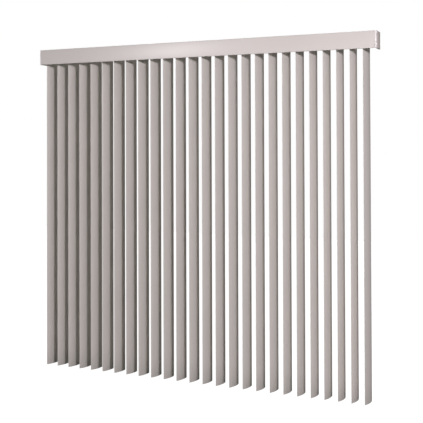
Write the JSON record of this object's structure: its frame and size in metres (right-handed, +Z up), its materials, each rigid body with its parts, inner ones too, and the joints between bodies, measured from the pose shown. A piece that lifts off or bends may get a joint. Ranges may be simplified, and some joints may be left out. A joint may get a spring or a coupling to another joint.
{
  "type": "vertical blind",
  "caption": "Vertical blind with curved vanes that hang from carriers in a slotted headrail, turn together on a tilt rod and draw to the left, behind a flat valance with returns.",
  "frame": {"origin": "on the ceiling plane, above the line of vane pivots, at the middle of the valance, on the middle mounting clip", "axes": "+X along the rail to the right as seen from the room, +Y from the room towards the window, +Z up"},
  "size_m": [2.0206, 0.1113, 1.881],
  "materials": {
    "vane_plastic": "smooth matte, warm grey",
    "valance_plastic": "smooth satin, pale warm grey",
    "carrier_plastic": "moulded, off-white",
    "rail_aluminium": "powder coated, off-white",
    "rod_aluminium": "extruded",
    "clip_steel": "zinc plated",
    "clip_plastic": "moulded, off-white",
    "cap_plastic": "moulded, off-white"
  },
  "bodies": {
    "rail": {"headrail": "rail_aluminium", "valance_front": "valance_plastic", "valance_returns": "valance_plastic", "valance_corners": "valance_plastic", "mounting_clips": "clip_steel", "valance_clips": "clip_plastic", "rail_end_caps": "cap_plastic", "carrier_01": "carrier_plastic"},
    "rod": {"tilt_rod": "rod_aluminium"},
    "carrier_02": {"carrier_02": "carrier_plastic"},
    "carrier_03": {"carrier_03": "carrier_plastic"},
    "carrier_04": {"carrier_04": "carrier_plastic"},
    "carrier_05": {"carrier_05": "carrier_plastic"},
    "carrier_06": {"carrier_06": "carrier_plastic"},
    "carrier_07": {"carrier_07": "carrier_plastic"},
    "carrier_08": {"carrier_08": "carrier_plastic"},
    "carrier_09": {"carrier_09": "carrier_plastic"},
    "carrier_10": {"carrier_10": "carrier_plastic"},
    "carrier_11": {"carrier_11": "carrier_plastic"},
    "carrier_12": {"carrier_12": "carrier_plastic"},
    "carrier_13": {"carrier_13": "carrier_plastic"},
    "carrier_14": {"carrier_14": "carrier_plastic"},
    "carrier_15": {"carrier_15": "carrier_plastic"},
    "carrier_16": {"carrier_16": "carrier_plastic"},
    "carrier_17": {"carrier_17": "carrier_plastic"},
    "carrier_18": {"carrier_18": "carrier_plastic"},
    "carrier_19": {"carrier_19": "carrier_plastic"},
    "carrier_20": {"carrier_20": "carrier_plastic"},
    "carrier_21": {"carrier_21": "carrier_plastic"},
    "carrier_22": {"carrier_22": "carrier_plastic"},
    "carrier_23": {"carrier_23": "carrier_plastic"},
    "carrier_24": {"carrier_24": "carrier_plastic"},
    "carrier_25": {"carrier_25": "carrier_plastic"},
    "carrier_26": {"carrier_26": "carrier_plastic"},
    "vane_01": {"vane_01": "vane_plastic"},
    "vane_02": {"vane_02": "vane_plastic"},
    "vane_03": {"vane_03": "vane_plastic"},
    "vane_04": {"vane_04": "vane_plastic"},
    "vane_05": {"vane_05": "vane_plastic"},
    "vane_06": {"vane_06": "vane_plastic"},
    "vane_07": {"vane_07": "vane_plastic"},
    "vane_08": {"vane_08": "vane_plastic"},
    "vane_09": {"vane_09": "vane_plastic"},
    "vane_10": {"vane_10": "vane_plastic"},
    "vane_11": {"vane_11": "vane_plastic"},
    "vane_12": {"vane_12": "vane_plastic"},
    "vane_13": {"vane_13": "vane_plastic"},
    "vane_14": {"vane_14": "vane_plastic"},
    "vane_15": {"vane_15": "vane_plastic"},
    "vane_16": {"vane_16": "vane_plastic"},
    "vane_17": {"vane_17": "vane_plastic"},
    "vane_18": {"vane_18": "vane_plastic"},
    "vane_19": {"vane_19": "vane_plastic"},
    "vane_20": {"vane_20": "vane_plastic"},
    "vane_21": {"vane_21": "vane_plastic"},
    "vane_22": {"vane_22": "vane_plastic"},
    "vane_23": {"vane_23": "vane_plastic"},
    "vane_24": {"vane_24": "vane_plastic"},
    "vane_25": {"vane_25": "vane_plastic"},
    "vane_26": {"vane_26": "vane_plastic"}
  },
  "joints": [
    {"name": "carrier_02_travel", "type": "slide", "parent": "rail", "child": "carrier_02", "axis": [1, 0, 0], "range_m": [-0.05906, 0]},
    {"name": "carrier_03_travel", "type": "slide", "parent": "rail", "child": "carrier_03", "axis": [1, 0, 0], "range_m": [-0.11902, 0]},
    {"name": "carrier_04_travel", "type": "slide", "parent": "rail", "child": "carrier_04", "axis": [1, 0, 0], "range_m": [-0.17978, 0]},
    {"name": "carrier_05_travel", "type": "slide", "parent": "rail", "child": "carrier_05", "axis": [1, 0, 0], "range_m": [-0.24123, 0]},
    {"name": "carrier_06_travel", "type": "slide", "parent": "rail", "child": "carrier_06", "axis": [1, 0, 0], "range_m": [-0.30326, 0]},
    {"name": "carrier_07_travel", "type": "slide", "parent": "rail", "child": "carrier_07", "axis": [1, 0, 0], "range_m": [-0.36577, 0]},
    {"name": "carrier_08_travel", "type": "slide", "parent": "rail", "child": "carrier_08", "axis": [1, 0, 0], "range_m": [-0.42866, 0]},
    {"name": "carrier_09_travel", "type": "slide", "parent": "rail", "child": "carrier_09", "axis": [1, 0, 0], "range_m": [-0.49183, 0]},
    {"name": "carrier_10_travel", "type": "slide", "parent": "rail", "child": "carrier_10", "axis": [1, 0, 0], "range_m": [-0.55516, 0]},
    {"name": "carrier_11_travel", "type": "slide", "parent": "rail", "child": "carrier_11", "axis": [1, 0, 0], "range_m": [-0.61856, 0]},
    {"name": "carrier_12_travel", "type": "slide", "parent": "rail", "child": "carrier_12", "axis": [1, 0, 0], "range_m": [-0.68192, 0]},
    {"name": "carrier_13_travel", "type": "slide", "parent": "rail", "child": "carrier_13", "axis": [1, 0, 0], "range_m": [-0.74514, 0]},
    {"name": "carrier_14_travel", "type": "slide", "parent": "rail", "child": "carrier_14", "axis": [1, 0, 0], "range_m": [-0.80811, 0]},
    {"name": "carrier_15_travel", "type": "slide", "parent": "rail", "child": "carrier_15", "axis": [1, 0, 0], "range_m": [-0.87073, 0]},
    {"name": "carrier_16_travel", "type": "slide", "parent": "rail", "child": "carrier_16", "axis": [1, 0, 0], "range_m": [-0.93289, 0]},
    {"name": "carrier_17_travel", "type": "slide", "parent": "rail", "child": "carrier_17", "axis": [1, 0, 0], "range_m": [-0.99449, 0]},
    {"name": "carrier_18_travel", "type": "slide", "parent": "rail", "child": "carrier_18", "axis": [1, 0, 0], "range_m": [-1.05543, 0]},
    {"name": "carrier_19_travel", "type": "slide", "parent": "rail", "child": "carrier_19", "axis": [1, 0, 0], "range_m": [-1.1156, 0]},
    {"name": "carrier_20_travel", "type": "slide", "parent": "rail", "child": "carrier_20", "axis": [1, 0, 0], "range_m": [-1.1749, 0]},
    {"name": "carrier_21_travel", "type": "slide", "parent": "rail", "child": "carrier_21", "axis": [1, 0, 0], "range_m": [-1.23322, 0]},
    {"name": "carrier_22_travel", "type": "slide", "parent": "rail", "child": "carrier_22", "axis": [1, 0, 0], "range_m": [-1.29046, 0]},
    {"name": "carrier_23_travel", "type": "slide", "parent": "rail", "child": "carrier_23", "axis": [1, 0, 0], "range_m": [-1.34651, 0]},
    {"name": "carrier_24_travel", "type": "slide", "parent": "rail", "child": "carrier_24", "axis": [1, 0, 0], "range_m": [-1.40128, 0]},
    {"name": "carrier_25_travel", "type": "slide", "parent": "rail", "child": "carrier_25", "axis": [1, 0, 0], "range_m": [-1.45465, 0]},
    {"name": "carrier_26_travel", "type": "slide", "parent": "rail", "child": "carrier_26", "axis": [1, 0, 0], "range_m": [-1.50652, 0]},
    {"name": "vane_01_turn", "type": "hinge", "parent": "rail", "child": "vane_01", "pos_m": [-0.95526, 0, -0.04], "axis": [0, 0, 1], "range_deg": [-51, 79]},
    {"name": "vane_02_turn", "type": "hinge", "parent": "carrier_02", "child": "vane_02", "pos_m": [-0.8802, 0, -0.04], "axis": [0, 0, 1], "range_deg": [-51, 79]},
    {"name": "vane_03_turn", "type": "hinge", "parent": "carrier_03", "child": "vane_03", "pos_m": [-0.80424, 0, -0.04], "axis": [0, 0, 1], "range_deg": [-51, 79]},
    {"name": "vane_04_turn", "type": "hinge", "parent": "carrier_04", "child": "vane_04", "pos_m": [-0.72748, 0, -0.04], "axis": [0, 0, 1], "range_deg": [-51, 79]},
    {"name": "vane_05_turn", "type": "hinge", "parent": "carrier_05", "child": "vane_05", "pos_m": [-0.65004, 0, -0.04], "axis": [0, 0, 1], "range_deg": [-51, 79]},
    {"name": "vane_06_turn", "type": "hinge", "parent": "carrier_06", "child": "vane_06", "pos_m": [-0.572, 0, -0.04], "axis": [0, 0, 1], "range_deg": [-51, 79]},
    {"name": "vane_07_turn", "type": "hinge", "parent": "carrier_07", "child": "vane_07", "pos_m": [-0.49349, 0, -0.04], "axis": [0, 0, 1], "range_deg": [-51, 79]},
    {"name": "vane_08_turn", "type": "hinge", "parent": "carrier_08", "child": "vane_08", "pos_m": [-0.4146, 0, -0.04], "axis": [0, 0, 1], "range_deg": [-51, 79]},
    {"name": "vane_09_turn", "type": "hinge", "parent": "carrier_09", "child": "vane_09", "pos_m": [-0.33543, 0, -0.04], "axis": [0, 0, 1], "range_deg": [-51, 79]},
    {"name": "vane_10_turn", "type": "hinge", "parent": "carrier_10", "child": "vane_10", "pos_m": [-0.2561, 0, -0.04], "axis": [0, 0, 1], "range_deg": [-51, 79]},
    {"name": "vane_11_turn", "type": "hinge", "parent": "carrier_11", "child": "vane_11", "pos_m": [-0.1767, 0, -0.04], "axis": [0, 0, 1], "range_deg": [-51, 79]},
    {"name": "vane_12_turn", "type": "hinge", "parent": "carrier_12", "child": "vane_12", "pos_m": [-0.09734, 0, -0.04], "axis": [0, 0, 1], "range_deg": [-51, 79]},
    {"name": "vane_13_turn", "type": "hinge", "parent": "carrier_13", "child": "vane_13", "pos_m": [-0.01812, 0, -0.04], "axis": [0, 0, 1], "range_deg": [-51, 79]},
    {"name": "vane_14_turn", "type": "hinge", "parent": "carrier_14", "child": "vane_14", "pos_m": [0.06085, 0, -0.04], "axis": [0, 0, 1], "range_deg": [-51, 79]},
    {"name": "vane_15_turn", "type": "hinge", "parent": "carrier_15", "child": "vane_15", "pos_m": [0.13946, 0, -0.04], "axis": [0, 0, 1], "range_deg": [-51, 79]},
    {"name": "vane_16_turn", "type": "hinge", "parent": "carrier_16", "child": "vane_16", "pos_m": [0.21763, 0, -0.04], "axis": [0, 0, 1], "range_deg": [-51, 79]},
    {"name": "vane_17_turn", "type": "hinge", "parent": "carrier_17", "child": "vane_17", "pos_m": [0.29523, 0, -0.04], "axis": [0, 0, 1], "range_deg": [-51, 79]},
    {"name": "vane_18_turn", "type": "hinge", "parent": "carrier_18", "child": "vane_18", "pos_m": [0.37217, 0, -0.04], "axis": [0, 0, 1], "range_deg": [-51, 79]},
    {"name": "vane_19_turn", "type": "hinge", "parent": "carrier_19", "child": "vane_19", "pos_m": [0.44834, 0, -0.04], "axis": [0, 0, 1], "range_deg": [-51, 79]},
    {"name": "vane_20_turn", "type": "hinge", "parent": "carrier_20", "child": "vane_20", "pos_m": [0.52363, 0, -0.04], "axis": [0, 0, 1], "range_deg": [-51, 79]},
    {"name": "vane_21_turn", "type": "hinge", "parent": "carrier_21", "child": "vane_21", "pos_m": [0.59795, 0, -0.04], "axis": [0, 0, 1], "range_deg": [-51, 79]},
    {"name": "vane_22_turn", "type": "hinge", "parent": "carrier_22", "child": "vane_22", "pos_m": [0.67119, 0, -0.04], "axis": [0, 0, 1], "range_deg": [-51, 79]},
    {"name": "vane_23_turn", "type": "hinge", "parent": "carrier_23", "child": "vane_23", "pos_m": [0.74325, 0, -0.04], "axis": [0, 0, 1], "range_deg": [-51, 79]},
    {"name": "vane_24_turn", "type": "hinge", "parent": "carrier_24", "child": "vane_24", "pos_m": [0.81402, 0, -0.04], "axis": [0, 0, 1], "range_deg": [-51, 79]},
    {"name": "vane_25_turn", "type": "hinge", "parent": "carrier_25", "child": "vane_25", "pos_m": [0.88339, 0, -0.04], "axis": [0, 0, 1], "range_deg": [-51, 79]},
    {"name": "vane_26_turn", "type": "hinge", "parent": "carrier_26", "child": "vane_26", "pos_m": [0.95126, 0, -0.04], "axis": [0, 0, 1], "range_deg": [-51, 79]},
    {"name": "tilt_rod_turn", "type": "hinge", "parent": "rail", "child": "rod", "pos_m": [0, 0.0086, -0.0135], "axis": [1, 0, 0], "range_deg": [-520, 800]}
  ],
  "couplings": [
    {"joint": "carrier_02_travel", "follows": "carrier_26_travel", "ratio": 0.039205},
    {"joint": "carrier_03_travel", "follows": "carrier_26_travel", "ratio": 0.079006},
    {"joint": "carrier_04_travel", "follows": "carrier_26_travel", "ratio": 0.11933},
    {"joint": "carrier_05_travel", "follows": "carrier_26_travel", "ratio": 0.16012},
    {"joint": "carrier_06_travel", "follows": "carrier_26_travel", "ratio": 0.2013},
    {"joint": "carrier_07_travel", "follows": "carrier_26_travel", "ratio": 0.24279},
    {"joint": "carrier_08_travel", "follows": "carrier_26_travel", "ratio": 0.28454},
    {"joint": "carrier_09_travel", "follows": "carrier_26_travel", "ratio": 0.32647},
    {"joint": "carrier_10_travel", "follows": "carrier_26_travel", "ratio": 0.36851},
    {"joint": "carrier_11_travel", "follows": "carrier_26_travel", "ratio": 0.41059},
    {"joint": "carrier_12_travel", "follows": "carrier_26_travel", "ratio": 0.45265},
    {"joint": "carrier_13_travel", "follows": "carrier_26_travel", "ratio": 0.49461},
    {"joint": "carrier_14_travel", "follows": "carrier_26_travel", "ratio": 0.53641},
    {"joint": "carrier_15_travel", "follows": "carrier_26_travel", "ratio": 0.57797},
    {"joint": "carrier_16_travel", "follows": "carrier_26_travel", "ratio": 0.61923},
    {"joint": "carrier_17_travel", "follows": "carrier_26_travel", "ratio": 0.66012},
    {"joint": "carrier_18_travel", "follows": "carrier_26_travel", "ratio": 0.70057},
    {"joint": "carrier_19_travel", "follows": "carrier_26_travel", "ratio": 0.74051},
    {"joint": "carrier_20_travel", "follows": "carrier_26_travel", "ratio": 0.77987},
    {"joint": "carrier_21_travel", "follows": "carrier_26_travel", "ratio": 0.81858},
    {"joint": "carrier_22_travel", "follows": "carrier_26_travel", "ratio": 0.85658},
    {"joint": "carrier_23_travel", "follows": "carrier_26_travel", "ratio": 0.89379},
    {"joint": "carrier_24_travel", "follows": "carrier_26_travel", "ratio": 0.93014},
    {"joint": "carrier_25_travel", "follows": "carrier_26_travel", "ratio": 0.96557},
    {"joint": "vane_02_turn", "follows": "vane_01_turn", "ratio": 1},
    {"joint": "vane_03_turn", "follows": "vane_01_turn", "ratio": 1},
    {"joint": "vane_04_turn", "follows": "vane_01_turn", "ratio": 1},
    {"joint": "vane_05_turn", "follows": "vane_01_turn", "ratio": 1},
    {"joint": "vane_06_turn", "follows": "vane_01_turn", "ratio": 1},
    {"joint": "vane_07_turn", "follows": "vane_01_turn", "ratio": 1},
    {"joint": "vane_08_turn", "follows": "vane_01_turn", "ratio": 1},
    {"joint": "vane_09_turn", "follows": "vane_01_turn", "ratio": 1},
    {"joint": "vane_10_turn", "follows": "vane_01_turn", "ratio": 1},
    {"joint": "vane_11_turn", "follows": "vane_01_turn", "ratio": 1},
    {"joint": "vane_12_turn", "follows": "vane_01_turn", "ratio": 1},
    {"joint": "vane_13_turn", "follows": "vane_01_turn", "ratio": 1},
    {"joint": "vane_14_turn", "follows": "vane_01_turn", "ratio": 1},
    {"joint": "vane_15_turn", "follows": "vane_01_turn", "ratio": 1},
    {"joint": "vane_16_turn", "follows": "vane_01_turn", "ratio": 1},
    {"joint": "vane_17_turn", "follows": "vane_01_turn", "ratio": 1},
    {"joint": "vane_18_turn", "follows": "vane_01_turn", "ratio": 1},
    {"joint": "vane_19_turn", "follows": "vane_01_turn", "ratio": 1},
    {"joint": "vane_20_turn", "follows": "vane_01_turn", "ratio": 1},
    {"joint": "vane_21_turn", "follows": "vane_01_turn", "ratio": 1},
    {"joint": "vane_22_turn", "follows": "vane_01_turn", "ratio": 1},
    {"joint": "vane_23_turn", "follows": "vane_01_turn", "ratio": 1},
    {"joint": "vane_24_turn", "follows": "vane_01_turn", "ratio": 1},
    {"joint": "vane_25_turn", "follows": "vane_01_turn", "ratio": 1},
    {"joint": "vane_26_turn", "follows": "vane_01_turn", "ratio": 1},
    {"joint": "tilt_rod_turn", "follows": "vane_01_turn", "ratio": 10}
  ]
}
